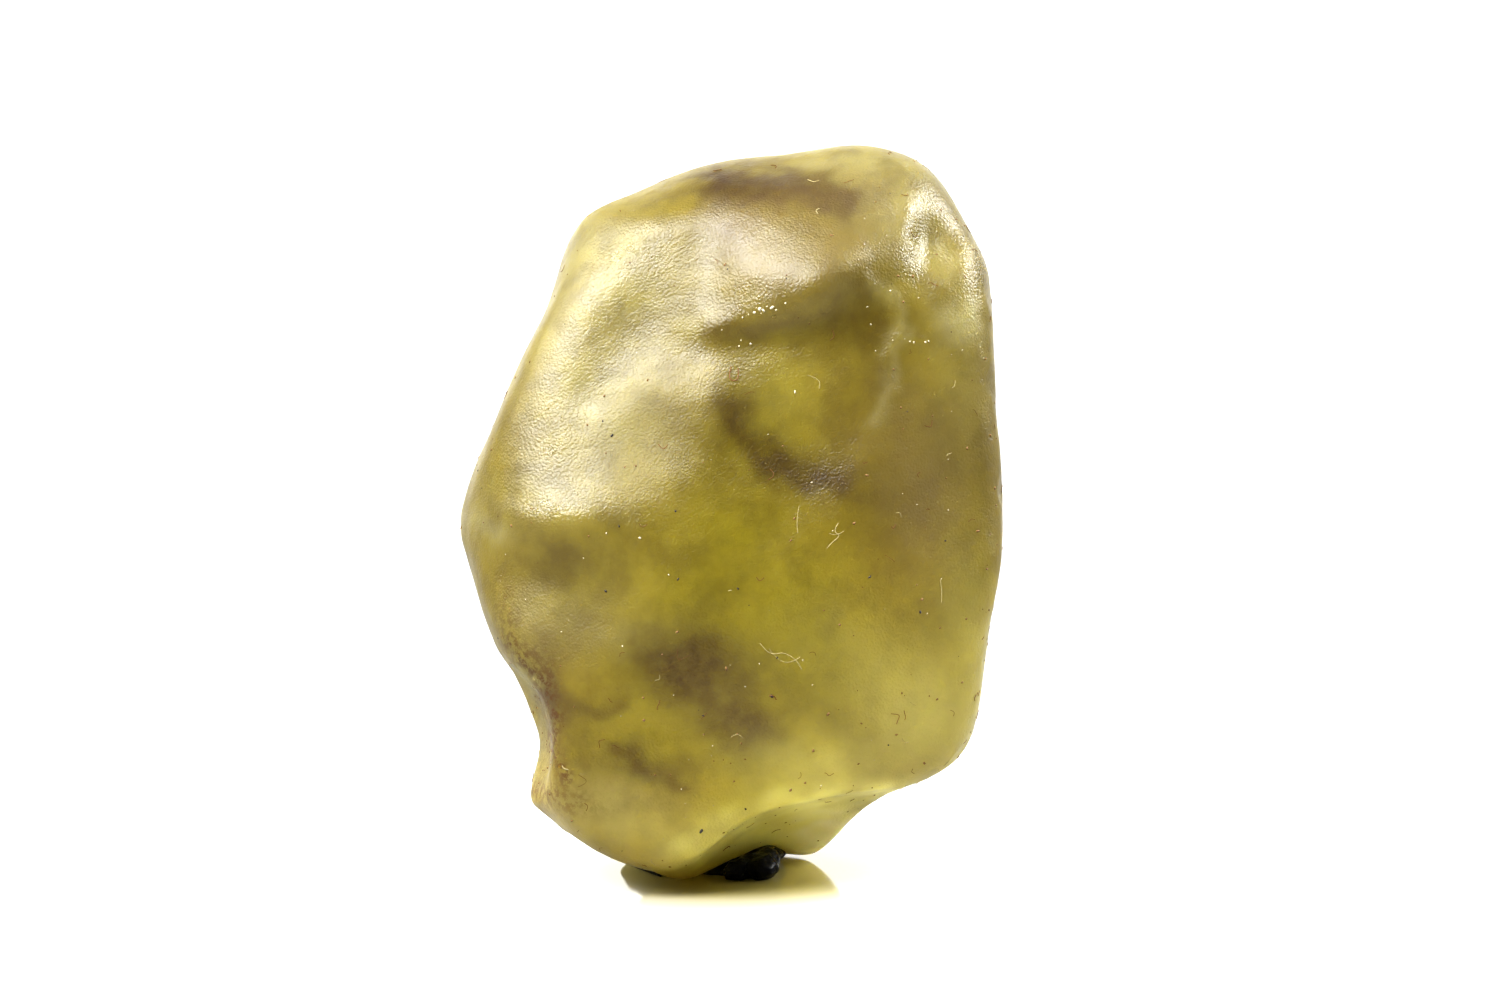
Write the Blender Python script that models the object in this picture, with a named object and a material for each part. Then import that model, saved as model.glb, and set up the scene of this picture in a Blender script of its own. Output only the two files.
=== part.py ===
"""A fragment of Libyan desert glass, stood on its low tip with a small pad of dark putty.

The stone is one solid of natural silica glass. Wind and sand have worn it to broad facets with soft
edges, a bite out of its lower left, a hollow under its brow and a scooped keel. Here it is a ball
whose points are moved in or out, along straight lines from the middle, until they lie on the facets,
the rim and the scoops named below. Lengths are in millimetres up to the last step, which scales
them to metres. X runs to the right of the broad face, Y away from it and Z up.
"""

import math

import bmesh
import bpy
import numpy as np

MM = 0.001

# The middle of the stone, from which its points are moved out
MIDDLE = (0.7, 0.0, 15.5)

# The rim of the stone, clockwise from its top as the broad face shows it: x, depth y and height z
RIM = (
    (4.7, 3.0, 31.9),
    (6.3, 3.0, 31.8),
    (7.7, 2.5, 31.4),
    (8.6, 2.0, 30.7),
    (9.4, 1.5, 29.8),
    (10.1, 1.0, 28.6),
    (10.7, 0.0, 27.3),
    (11.2, -0.5, 26.4),
    (11.3, -1.0, 25.1),
    (11.3, -1.5, 23.0),
    (11.4, -2.0, 20.4),
    (11.6, -2.3, 18.5),
    (11.8, -2.5, 16.1),
    (11.8, -2.5, 14.5),
    (11.4, -2.5, 12.8),
    (11.1, -2.6, 11.2),
    (11.0, -2.8, 9.5),
    (10.8, -3.0, 7.8),
    (10.3, -3.2, 6.3),
    (9.3, -3.3, 5.1),
    (7.6, -2.5, 3.9),
    (6.0, -1.5, 2.8),
    (4.8, 0.5, 1.4),
    (3.6, 2.5, -0.1),
    (2.0, 2.5, -0.9),
    (-0.4, -1.0, -0.9),
    (-2.2, -3.2, -0.3),
    (-3.6, -3.8, 0.8),
    (-6.0, -4.2, 1.8),
    (-7.8, -4.4, 3.0),
    (-9.1, -4.2, 3.6),
    (-8.4, -2.5, 4.6),
    (-8.2, 0.0, 5.2),
    (-8.5, 0.5, 6.2),
    (-9.0, 1.0, 7.7),
    (-9.6, 0.5, 9.1),
    (-10.3, -1.5, 10.6),
    (-10.9, -2.0, 12.3),
    (-11.3, 1.0, 13.4),
    (-11.9, 2.0, 14.9),
    (-11.2, 0.5, 17.2),
    (-10.3, -0.5, 19.4),
    (-9.4, -0.3, 21.6),
    (-8.5, 0.3, 23.7),
    (-7.7, 1.0, 25.3),
    (-7.4, 1.5, 26.4),
    (-7.0, 2.0, 27.4),
    (-6.2, 2.3, 28.5),
    (-4.7, 2.5, 29.3),
    (-3.1, 2.8, 30.0),
    (-0.7, 3.0, 30.8),
    (2.7, 3.0, 31.4),
)
# How far round the rim, in degrees, its points are blended: at the rim itself, in front of it and
# behind it, and for its depth
RIM_BLEND = 1.3
BODY_BLEND = 14.0
DEPTH_BLEND = 7.0
# The rim's own shape is lost over RIM_REACH to the front and back, and the body narrows there
RIM_REACH = 4.0
HALF_THICKNESS = 8.0
NARROWING = 0.24
RIM_SOFTNESS = 1.0

# Each facet: a point on it, the way it faces, and how softly it meets the facets above it in the list
FACETS = {
    "face": ((0.7, -7.6, 10.0), (0.02, -1.0, -0.07), 0.0),
    "face_right": ((7.7, -6.7, 10.0), (0.34, -1.0, -0.10), 1.5),
    "face_upper_right": ((8.7, -5.2, 19.5), (0.45, -1.0, 0.20), 1.5),
    "shoulder": ((-5.8, -7.45, 16.4), (-0.30, -1.0, 0.50), 0.6),
    "brow": ((2.2, -7.0, 24.7), (-0.05, -1.0, 0.85), 0.5),
    "under_brow": ((3.0, -6.2, 22.0), (0.06, -1.0, 0.18), 0.6),
    "brow_right": ((8.7, -3.6, 26.0), (0.50, -0.9, 0.62), 1.0),
    "face_left": ((-9.5, -6.2, 10.0), (-0.62, -1.0, 0.0), 1.4),
    "left_edge": ((-10.9, -3.6, 17.0), (-1.0, -0.62, 0.30), 1.0),
    "crown": ((-0.7, -3.6, 29.2), (-0.11, -0.36, 1.0), 0.8),
    "tip_underside": ((-1.5, -3.5, 0.0), (0.40, -0.49, -1.0), 0.3),
    "back": ((1.2, 7.4, 15.0), (-0.10, 1.0, 0.14), 1.6),
    "back_upper": ((1.7, 6.6, 25.0), (0.05, 1.0, 0.50), 1.6),
    "back_left": ((-6.8, 5.6, 14.0), (-0.62, 1.0, 0.05), 1.2),
    "back_right": ((7.7, 5.4, 13.0), (0.72, 1.0, -0.10), 1.6),
    "back_lower": ((-1.8, 6.2, 5.5), (-0.25, 1.0, -0.55), 1.2),
    "back_underside": ((3.7, 4.2, -0.1), (0.05, 0.35, -1.0), 0.8),
}

# Each scoop is an egg-shaped bite: its centre, its half sizes and the softness of its lip
SCOOPS = {
    "notch": ((-11.3, -5.6, 6.6), (3.8, 6.6, 3.9), 0.35),
    "keel": ((5.4, -9.0, -2.0), (8.2, 11.6, 6.6), 0.35),
    "hollow_under_keel": ((-0.3, 1.2, -2.6), (5.2, 3.4, 3.8), 0.5),
    "face_hollow": ((3.3, -14.0, 20.6), (5.6, 8.0, 4.8), 0.9),
    "back_scoop_high": ((-3.4, 14.4, 20.0), (8.5, 8.2, 6.0), 1.6),
    "back_scoop_low": ((7.6, 13.4, 9.6), (7.0, 8.2, 6.4), 2.0),
    "left_side_scoop": ((-15.8, 3.4, 20.4), (5.4, 3.8, 4.6), 0.8),
}

# Each ledge steps the front face back below a line: the line's ends (x, z), the depth, the width of
# the step and the length over which the face comes forward again
LEDGES = {
    "brow_rim_left": ((-1.6, 24.0), (2.6, 25.0), 0.45, 1.5, 9.0),
    "brow_rim_right": ((1.6, 24.6), (6.2, 27.0), 0.60, 1.6, 8.0),
    "shoulder_lip": ((-12.0, 15.5), (-4.0, 15.7), 0.50, 1.8, 2.8),
}
LEDGE_END = 4.0

# Each dent in the front face: x, z, half width, half height and depth, which is negative for a swelling
DENTS = {
    "brow_swelling": (2.4, 26.6, 3.2, 1.8, -0.5),
    "brow_crease": (-0.9, 26.4, 0.8, 2.0, 0.25),
    "knob_dimple": (8.4, 27.3, 0.8, 1.2, 0.65),
    "knob_left": (7.3, 27.0, 0.8, 1.6, -0.25),
    "knob_right": (10.1, 26.6, 0.9, 1.4, -0.25),
    "pale_knob": (10.0, 24.8, 1.1, 1.1, -0.15),
    "shoulder_dip_high": (-3.9, 23.6, 2.2, 2.0, 0.22),
    "shoulder_dip_left": (-5.7, 21.6, 1.6, 1.2, 0.18),
    "shoulder_dip_low": (-2.9, 19.6, 2.6, 1.3, 0.35),
    "lip_swelling": (-7.9, 16.0, 2.8, 1.2, -0.40),
    "face_belly": (0.5, 11.5, 5.0, 3.5, -0.30),
}
# The features of the front face fade out between these depths
FRONT_FROM = -4.0
FRONT_TO = 1.0

# The low waves all over the stone
WAVES = 14
WAVE_HEIGHT = 0.07
SHORTEST_WAVE = 3.2
LONGEST_WAVE = 7.5
WAVE_SEED = 11

# The putty: a flattened ball pressed against the stone's underside
PUTTY_CENTRE = (-0.95, 0.9, 0.0)
PUTTY_HALF_SIZE = (3.4, 3.0, 1.75)
PUTTY_BUMP = 0.22
PUTTY_BUMP_LENGTH = 2.4
PUTTY_SEED = 5
CLEARANCE = 0.3

BALL_SUBDIVISIONS = 7
PUTTY_SUBDIVISIONS = 5
KEPT_TRIANGLES = 0.1
FARTHEST = 26.0
STEPS_OUT = 48
HALVINGS = 14
GROUND_SIZE = 60.0

# Each material: its colour, roughness, share of light let through and index of refraction
GLASS_LOOK = ((0.42, 0.36, 0.09, 1.0), 0.35, 0.6, 1.46)
PUTTY_LOOK = ((0.012, 0.012, 0.014, 1.0), 0.4, 0.0, 1.5)

RIM_ANGLES = np.linspace(-math.pi, math.pi, 720, endpoint=False)


def unit(vector):
    vector = np.array(vector, float)
    return vector / np.linalg.norm(vector)


def ramp(value):
    """0 below 0, 1 above 1 and a smooth rise between."""
    value = np.clip(value, 0, 1)
    return value * value * (3 - 2 * value)


def rounded_max(a, b, softness):
    """The larger of two distances, with the corner between them rounded off."""
    if softness == 0:
        return np.maximum(a, b)
    overlap = np.maximum(softness - np.abs(a - b), 0) / softness
    return np.maximum(a, b) + overlap**2 * softness / 4


def read_round_the_rim(values, blend):
    """The rim points' values at each of RIM_ANGLES, blended over some degrees either side."""
    rim = np.array(RIM)
    angles = np.arctan2(rim[:, 2] - MIDDLE[2], rim[:, 0] - MIDDLE[0])
    order = np.argsort(angles)
    plain = np.interp(RIM_ANGLES, angles[order], values[order], period=2 * math.pi)
    bell = np.exp(-0.5 * (np.degrees(RIM_ANGLES) / blend) ** 2)
    bell = np.roll(bell / bell.sum(), len(bell) // 2)
    return np.fft.ifft(np.fft.fft(plain) * np.fft.fft(bell)).real


def rim_profiles():
    """The rim's radius close to it and away from it, and its depth, at each of RIM_ANGLES."""
    rim = np.array(RIM)
    radii = np.hypot(rim[:, 0] - MIDDLE[0], rim[:, 2] - MIDDLE[2])
    return (
        read_round_the_rim(radii, RIM_BLEND),
        read_round_the_rim(radii, BODY_BLEND),
        read_round_the_rim(rim[:, 1], DEPTH_BLEND),
    )


def waves(count, shortest, longest, seed):
    """Directions and phases of plane waves that cross at random."""
    random = np.random.default_rng(seed)
    directions = random.normal(size=(count, 3))
    directions /= np.linalg.norm(directions, axis=1)[:, None]
    lengths = random.uniform(shortest, longest, count)
    phases = random.uniform(0, 2 * math.pi, count)
    return directions * (2 * math.pi / lengths)[:, None], phases


def wave_height(points, crossing):
    directions, phases = crossing
    return np.cos(points @ directions.T + phases).sum(axis=-1) * math.sqrt(2 / len(phases))


def facet_distance(points):
    distance = np.full(len(points), -FARTHEST)
    for on_facet, facing, softness in FACETS.values():
        distance = rounded_max(distance, (points - np.array(on_facet)) @ unit(facing), softness)
    return distance


def front_relief(points):
    """How far the ledges and dents set the front face back."""
    x, y, z = points.T
    relief = np.zeros(len(points))
    for at_x, at_z, half_width, half_height, depth in DENTS.values():
        spread = ((x - at_x) / half_width) ** 2 + ((z - at_z) / half_height) ** 2
        relief += depth * np.exp(-spread)
    for start, end, depth, step, run_out in LEDGES.values():
        line = np.array(end) - np.array(start)
        length = np.hypot(*line)
        along = ((x - start[0]) * line[0] + (z - start[1]) * line[1]) / length
        below = ((x - start[0]) * line[1] - (z - start[1]) * line[0]) / length
        across = ramp(below / step + 0.5) * np.exp(-np.maximum(below - step, 0) / run_out)
        ends = ramp(along / LEDGE_END + 0.5) * ramp((length - along) / LEDGE_END + 0.5)
        relief += depth * across * ends
    return relief * ramp((FRONT_TO - y) / (FRONT_TO - FRONT_FROM))


def rim_distance(points, profiles):
    near, away, depth = profiles
    x, y, z = points.T
    angle = np.arctan2(z - MIDDLE[2], x - MIDDLE[0])
    offset = y - np.interp(angle, RIM_ANGLES, depth, period=2 * math.pi)
    close = np.exp(-((offset / RIM_REACH) ** 2))
    radius = close * np.interp(angle, RIM_ANGLES, near, period=2 * math.pi)
    radius += (1 - close) * np.interp(angle, RIM_ANGLES, away, period=2 * math.pi)
    narrowed = 1 + NARROWING * (offset / HALF_THICKNESS) ** 2
    return np.hypot(x - MIDDLE[0], z - MIDDLE[2]) * narrowed - radius


def stone_distance(points, profiles, low_waves):
    """Below 0 inside the stone and above 0 outside, about the distance to its surface."""
    distance = facet_distance(points) + front_relief(points)
    distance = rounded_max(distance, rim_distance(points, profiles), RIM_SOFTNESS)
    for centre, half_size, softness in SCOOPS.values():
        inside = np.linalg.norm((points - np.array(centre)) / np.array(half_size), axis=1)
        distance = rounded_max(distance, (1 - inside) * min(half_size), softness)
    return distance + WAVE_HEIGHT * wave_height(points, low_waves)


def reach_of(directions, swelling):
    """How far from MIDDLE the surface, grown by swelling, lies along each direction."""
    profiles = rim_profiles()
    low_waves = waves(WAVES, SHORTEST_WAVE, LONGEST_WAVE, WAVE_SEED)

    def outside(reach):
        points = np.array(MIDDLE) + directions * reach[:, None]
        return stone_distance(points, profiles, low_waves) > swelling

    inner = np.zeros(len(directions))
    outer = np.full(len(directions), FARTHEST)
    found = np.zeros(len(directions), bool)
    for step in range(1, STEPS_OUT + 1):
        reach = np.full(len(directions), FARTHEST * step / STEPS_OUT)
        newly_out = outside(reach) & ~found
        outer[newly_out] = reach[newly_out]
        found |= newly_out
        inner[~found] = reach[~found]
    for _ in range(HALVINGS):
        halfway = (inner + outer) / 2
        out = outside(halfway)
        outer = np.where(out, halfway, outer)
        inner = np.where(out, inner, halfway)
    return (inner + outer) / 2


def ball(name, subdivisions):
    """A ball of radius 1 made of even triangles."""
    mesh = bpy.data.meshes.new(name)
    shape = bmesh.new()
    bmesh.ops.create_icosphere(shape, subdivisions=subdivisions, radius=1.0)
    shape.to_mesh(mesh)
    shape.free()
    mesh.shade_smooth()
    return mesh


def points_of(mesh):
    points = np.empty(len(mesh.vertices) * 3, np.float32)
    mesh.vertices.foreach_get("co", points)
    return points.reshape(-1, 3).astype(float)


def move_points(mesh, millimetres):
    mesh.vertices.foreach_set("co", (millimetres * MM).astype(np.float32).ravel())
    mesh.update()


def stone_mesh(name, swelling):
    mesh = ball(name, BALL_SUBDIVISIONS)
    directions = points_of(mesh)
    directions /= np.linalg.norm(directions, axis=1)[:, None]
    reach = reach_of(directions, swelling)
    move_points(mesh, np.array(MIDDLE) + directions * reach[:, None])
    return mesh


def putty_mesh(name):
    mesh = ball(name, PUTTY_SUBDIVISIONS)
    directions = points_of(mesh)
    points = directions * np.array(PUTTY_HALF_SIZE)
    bumps = waves(WAVES, PUTTY_BUMP_LENGTH, 2 * PUTTY_BUMP_LENGTH, PUTTY_SEED)
    points += directions * (PUTTY_BUMP * wave_height(points, bumps))[:, None]
    move_points(mesh, points + np.array(PUTTY_CENTRE))
    return mesh


def material(name, colour, roughness, transmission, refraction):
    made = bpy.data.materials.new(name)
    made.use_nodes = True
    made.diffuse_color = colour
    surface = made.node_tree.nodes["Principled BSDF"]
    surface.inputs["Base Color"].default_value = colour
    surface.inputs["Roughness"].default_value = roughness
    surface.inputs["Transmission Weight"].default_value = transmission
    surface.inputs["IOR"].default_value = refraction
    return made


def add_object(name, mesh, collection, parent):
    made = bpy.data.objects.new(name, mesh)
    collection.objects.link(made)
    made.parent = parent
    return made


def add_guide(name, mesh, collection, parent):
    guide = add_object(name, mesh, collection, parent)
    guide.hide_render = True
    guide.display_type = "WIRE"
    return guide


def cut(target, cutter):
    modifier = target.modifiers.new("cut by " + cutter.name, "BOOLEAN")
    modifier.operation = "DIFFERENCE"
    modifier.solver = "EXACT"
    modifier.object = cutter


def thin_out(target, share):
    modifier = target.modifiers.new("fewer triangles", "DECIMATE")
    modifier.ratio = share


def ground_mesh(name):
    """A block whose top is the surface that the stone stands on."""
    mesh = bpy.data.meshes.new(name)
    shape = bmesh.new()
    bmesh.ops.create_cube(shape, size=GROUND_SIZE * MM)
    bmesh.ops.translate(shape, verts=shape.verts, vec=(0, 0, -GROUND_SIZE * MM / 2))
    shape.to_mesh(mesh)
    shape.free()
    return mesh


def middle_of_box(objects):
    """The middle, in X and Y, of the box round some objects as their modifiers leave them."""
    bpy.context.view_layer.update()
    graph = bpy.context.evaluated_depsgraph_get()
    corners = []
    for made in objects:
        evaluated = made.evaluated_get(graph)
        corners += [evaluated.matrix_world @ vertex.co for vertex in evaluated.data.vertices]
    corners = np.array(corners)
    return (corners.min(axis=0) + corners.max(axis=0)) / 2


def build():
    for old in list(bpy.data.objects):
        bpy.data.objects.remove(old)

    parts = bpy.data.collections.new("libyan_desert_glass")
    guides = bpy.data.collections.new("cutters")
    bpy.context.scene.collection.children.link(parts)
    bpy.context.scene.collection.children.link(guides)
    base = bpy.data.objects.new("base_centre", None)
    parts.objects.link(base)

    ground = add_guide("ground", ground_mesh("ground"), guides, base)
    socket = add_guide("socket", stone_mesh("socket", CLEARANCE), guides, base)

    stone = add_object("desert_glass", stone_mesh("desert_glass", 0.0), parts, base)
    stone.data.materials.append(material("worn_glass", *GLASS_LOOK))
    thin_out(stone, KEPT_TRIANGLES)
    cut(stone, ground)

    putty = add_object("putty_pad", putty_mesh("putty_pad"), parts, base)
    putty.data.materials.append(material("dark_putty", *PUTTY_LOOK))
    cut(putty, socket)
    cut(putty, ground)

    middle = middle_of_box([stone, putty])
    base.location = (-middle[0], -middle[1], 0)


build()
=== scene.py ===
import math

import bmesh
import bpy
import numpy as np
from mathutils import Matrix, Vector
from mathutils.bvhtree import BVHTree


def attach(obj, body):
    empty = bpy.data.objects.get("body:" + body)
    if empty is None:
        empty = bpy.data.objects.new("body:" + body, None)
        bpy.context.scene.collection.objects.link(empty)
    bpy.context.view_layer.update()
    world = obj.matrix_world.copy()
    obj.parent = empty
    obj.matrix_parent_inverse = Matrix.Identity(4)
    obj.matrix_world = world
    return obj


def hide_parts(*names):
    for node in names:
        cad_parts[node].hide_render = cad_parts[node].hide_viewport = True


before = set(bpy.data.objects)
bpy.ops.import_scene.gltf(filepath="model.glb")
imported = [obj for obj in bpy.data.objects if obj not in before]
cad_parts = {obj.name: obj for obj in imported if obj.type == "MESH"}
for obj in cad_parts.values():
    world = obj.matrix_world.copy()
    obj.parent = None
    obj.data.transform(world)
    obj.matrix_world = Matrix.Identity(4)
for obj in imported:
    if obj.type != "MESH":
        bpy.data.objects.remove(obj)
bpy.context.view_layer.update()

# The camera. It looks along +Y and a little down, from close by, through a long lens. All sizes
# and places are in millimetres. One pixel of the picture is 0.0433 mm at the stone's low tip.
MM = 0.001
PIXEL = 0.0433
PICTURE_WIDTH = 1500
SENSOR_WIDTH = 36.0
CAMERA_DOWN = math.radians(8.0)
CAMERA_DISTANCE = 280.0
TIP_DEPTH = -3.0
PICTURE_MIDDLE = (0.92, 16.54)
VIEW_UP = np.array([0.0, math.sin(CAMERA_DOWN), math.cos(CAMERA_DOWN)])
VIEW_BACK = np.array([0.0, -math.cos(CAMERA_DOWN), math.sin(CAMERA_DOWN)])
TIP = np.array([0.0, TIP_DEPTH, 0.0])
AIM = TIP + np.array([PICTURE_MIDDLE[0], 0.0, 0.0]) + VIEW_UP * PICTURE_MIDDLE[1]
EYE = AIM + VIEW_BACK * CAMERA_DISTANCE

camera_data = bpy.data.cameras.new("camera")
camera_data.sensor_width = SENSOR_WIDTH
camera_data.lens = SENSOR_WIDTH * CAMERA_DISTANCE / (PICTURE_WIDTH * PIXEL)
camera_data.clip_start = 0.01
camera = bpy.data.objects.new("camera", camera_data)
camera.location = EYE * MM
camera.rotation_euler = (math.pi / 2 - CAMERA_DOWN, 0, 0)
bpy.context.scene.collection.objects.link(camera)
bpy.context.scene.camera = camera


def as_seen(points):
    """Places on the broad face as the camera sees them: mm right of the origin and above the tip."""
    from_aim = points - AIM
    depth = from_aim @ VIEW_BACK
    nearness = CAMERA_DISTANCE / (CAMERA_DISTANCE - depth)
    right = PICTURE_MIDDLE[0] + from_aim[:, 0] * nearness
    up = PICTURE_MIDDLE[1] + (from_aim @ VIEW_UP) * nearness
    return np.stack([right, up], axis=1)


# The glass fragment: one piece of natural silica glass, yellow-green and a little milky, its skin
# frosted by blown sand. It was never cut or polished. It stands on its tip, held by the putty.
# Its skin is the solid's, rounded and then worked over with the dips, folds and chips below.
SKIN_GRID = 0.16
SKIN_SMOOTHING = 14


def link(name, mesh):
    """A new object of this name in the scene."""
    made = bpy.data.objects.new(name, mesh)
    bpy.context.scene.collection.objects.link(made)
    return made


def read_points(mesh):
    """The places of the mesh's points, one row each."""
    points = np.empty(len(mesh.vertices) * 3, np.float32)
    mesh.vertices.foreach_get("co", points)
    return points.reshape(-1, 3).astype(float)


def write_points(mesh, points):
    """Moves the mesh's points to these places."""
    mesh.vertices.foreach_set("co", points.astype(np.float32).ravel())
    mesh.update()


def read_normals(mesh):
    """The outward direction at each of the mesh's points."""
    normals = np.empty(len(mesh.vertices) * 3, np.float32)
    mesh.vertex_normals.foreach_get("vector", normals)
    return normals.reshape(-1, 3).astype(float)


def even_skin(node, name, grid):
    """A copy of a solid, in millimetres, with its surface made of even small squares."""
    mesh = bpy.data.meshes.new_from_object(node)
    write_points(mesh, read_points(mesh) / MM)
    made = link(name, mesh)
    remesh = made.modifiers.new("even skin", "REMESH")
    remesh.mode = "VOXEL"
    remesh.voxel_size = grid
    graph = bpy.context.evaluated_depsgraph_get()
    skin = bpy.data.meshes.new_from_object(made.evaluated_get(graph))
    made.modifiers.clear()
    made.data = skin
    skin.name = name
    skin.materials.clear()
    skin.shade_smooth()
    return made


def relax(mesh, rounds, share=1.0):
    """Moves each point up to half of the way to the middle of its neighbours, some rounds over."""
    ends = np.empty(len(mesh.edges) * 2, np.int32)
    mesh.edges.foreach_get("vertices", ends)
    ends = ends.reshape(-1, 2)
    both = np.concatenate([ends, ends[:, ::-1]])
    count = np.bincount(both[:, 0], minlength=len(mesh.vertices))
    points = read_points(mesh)
    for _ in range(rounds):
        total = np.stack(
            [np.bincount(both[:, 0], weights=points[both[:, 1], axis]) for axis in range(3)],
            axis=1,
        )
        points += (total / count[:, None] - points) * (share / 2)
    write_points(mesh, points)


def waves(points, lengths, seed, count=24):
    """A smooth random pattern of about -1 to 1, made of crossing waves of these lengths in mm."""
    random = np.random.default_rng(seed)
    directions = random.normal(size=(count, 3))
    directions /= np.linalg.norm(directions, axis=1)[:, None]
    directions *= 2 * math.pi / random.uniform(*lengths, count)[:, None]
    phases = random.uniform(0, 2 * math.pi, count)
    return np.cos(points @ directions.T + phases).sum(axis=1) * math.sqrt(1 / count)


def soft_step(value):
    """Rises from 0 to 1 without a corner, as the value does."""
    value = np.clip(value, 0, 1)
    return value * value * (3 - 2 * value)


def near_path(places, path):
    """The distance of each place to a line through the path's points."""
    nearest = np.full(len(places), 1e9)
    for start, end in zip(path[:-1], path[1:]):
        start, end = np.array(start), np.array(end)
        line = end - start
        along = np.clip((places - start) @ line / (line @ line), 0, 1)
        nearest = np.minimum(nearest, np.linalg.norm(places - start - along[:, None] * line, axis=1))
    return nearest


def soft_oval(places, right, up, half_width, half_height):
    """1 at the middle of an oval, fading outwards."""
    apart = ((places[:, 0] - right) / half_width) ** 2 + ((places[:, 1] - up) / half_height) ** 2
    return np.exp(-apart)


def soft_band(places, path, half_width):
    """1 on the path, fading to both sides."""
    return np.exp(-((near_path(places, path) / half_width) ** 2))


# Edges that sand has worn quite round: the left, lower and right borders of the upper left facet
WORN_EDGES = (
    ((-9.9, 16.2), (-9.0, 19.0), (-7.6, 23.5), (-6.2, 27.6)),
    ((-10.0, 15.6), (-5.0, 15.6)),
    ((-5.0, 16.4), (-3.6, 17.8), (-1.8, 20.0), (-0.6, 21.4), (-0.6, 24.0)),
)
WORN_REACH = 1.4
WORN_SMOOTHING = 110
# Edges that stay crisper: the lip of the bite at the left and the brow's rim
CRISP_EDGES = (
    ((-10.2, 10.2), (-8.3, 8.6), (-7.7, 6.8), (-7.9, 4.8), (-8.5, 3.6), (-7.0, 2.6)),
    ((-1.4, 24.2), (2.4, 24.9), (5.8, 26.8)),
)
CRISP_REACH = 0.7
FACET_SMOOTHING = 40

# Low ripples all over the skin: how far they stand out, and how far apart they are
BROAD_RIPPLE = 0.010
BROAD_WAVES = (1.6, 3.4)
FINE_RIPPLE = 0.005
FINE_WAVES = (0.7, 1.4)
# Below this height the skin keeps the solid's shape, so that the stone stands as it does
FOOT_HEIGHT = 0.5

# Broad dips and swellings of the broad face, as seen: right, up, half width, half height, depth
DIPS = (
    (-3.9, 22.4, 2.2, 2.4, 0.08),
    (-4.4, 28.6, 2.6, 0.9, -0.30),
    (-6.1, 20.9, 1.0, 1.0, 0.08),
    (-6.2, 25.2, 1.2, 1.4, -0.10),
    (-0.5, 21.6, 0.9, 1.6, -0.12),
    (3.4, 26.0, 2.4, 1.1, -0.15),
    (8.6, 28.0, 0.6, 0.9, 0.12),
    (7.6, 28.4, 0.7, 0.9, -0.08),
    (10.2, 26.9, 0.7, 1.0, -0.14),
    (-6.4, 12.2, 2.0, 1.8, 0.14),
    (-0.6, 8.8, 3.2, 2.6, 0.08),
    (4.8, 12.6, 2.6, 3.2, 0.10),
    (-3.4, 4.6, 2.8, 1.6, -0.10),
)

# Folds in the skin of the broad face: the path, the half width and how far it stands out
CREASES = (
    (((-0.6, 24.0), (1.0, 24.4), (2.6, 24.7), (3.9, 25.4)), 0.70, 0.22),
    (((5.9, 26.0), (7.2, 25.2), (7.5, 24.0), (6.8, 22.6), (7.1, 21.2)), 0.36, 0.12),
    (((7.4, 23.6), (8.6, 23.4)), 0.16, 0.08),
    (((-10.4, 15.9), (-8.6, 15.7), (-6.6, 15.9)), 0.60, 0.07),
    (((7.6, 29.2), (7.7, 27.8), (8.2, 26.7), (9.1, 25.9)), 0.55, 0.12),
    (((-0.9, 28.6), (-0.7, 25.6)), 1.1, -0.06),
)
# The low stretch of keel between the tip and the rear end: right, up, half width, half height, drop
KEEL_SAG = (1.2, 1.0, 1.5, 0.9)
KEEL_DROP = 0.50

# Chips out of the thin right edge and the left corner: x, y, z, half width and depth
CHIPS = (
    (11.6, -1.4, 25.6, 0.9, 0.10),
    (11.5, -3.0, 21.8, 0.6, 0.08),
    (12.0, -3.4, 17.2, 0.6, 0.08),
    (11.9, -3.0, 13.2, 0.7, 0.10),
    (11.3, -3.6, 9.6, 0.6, 0.08),
    (10.2, -4.4, 5.9, 0.6, 0.08),
    (-9.2, -4.6, 4.2, 0.6, 0.15),
    (-6.4, -4.8, 2.2, 0.7, 0.12),
)

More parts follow.
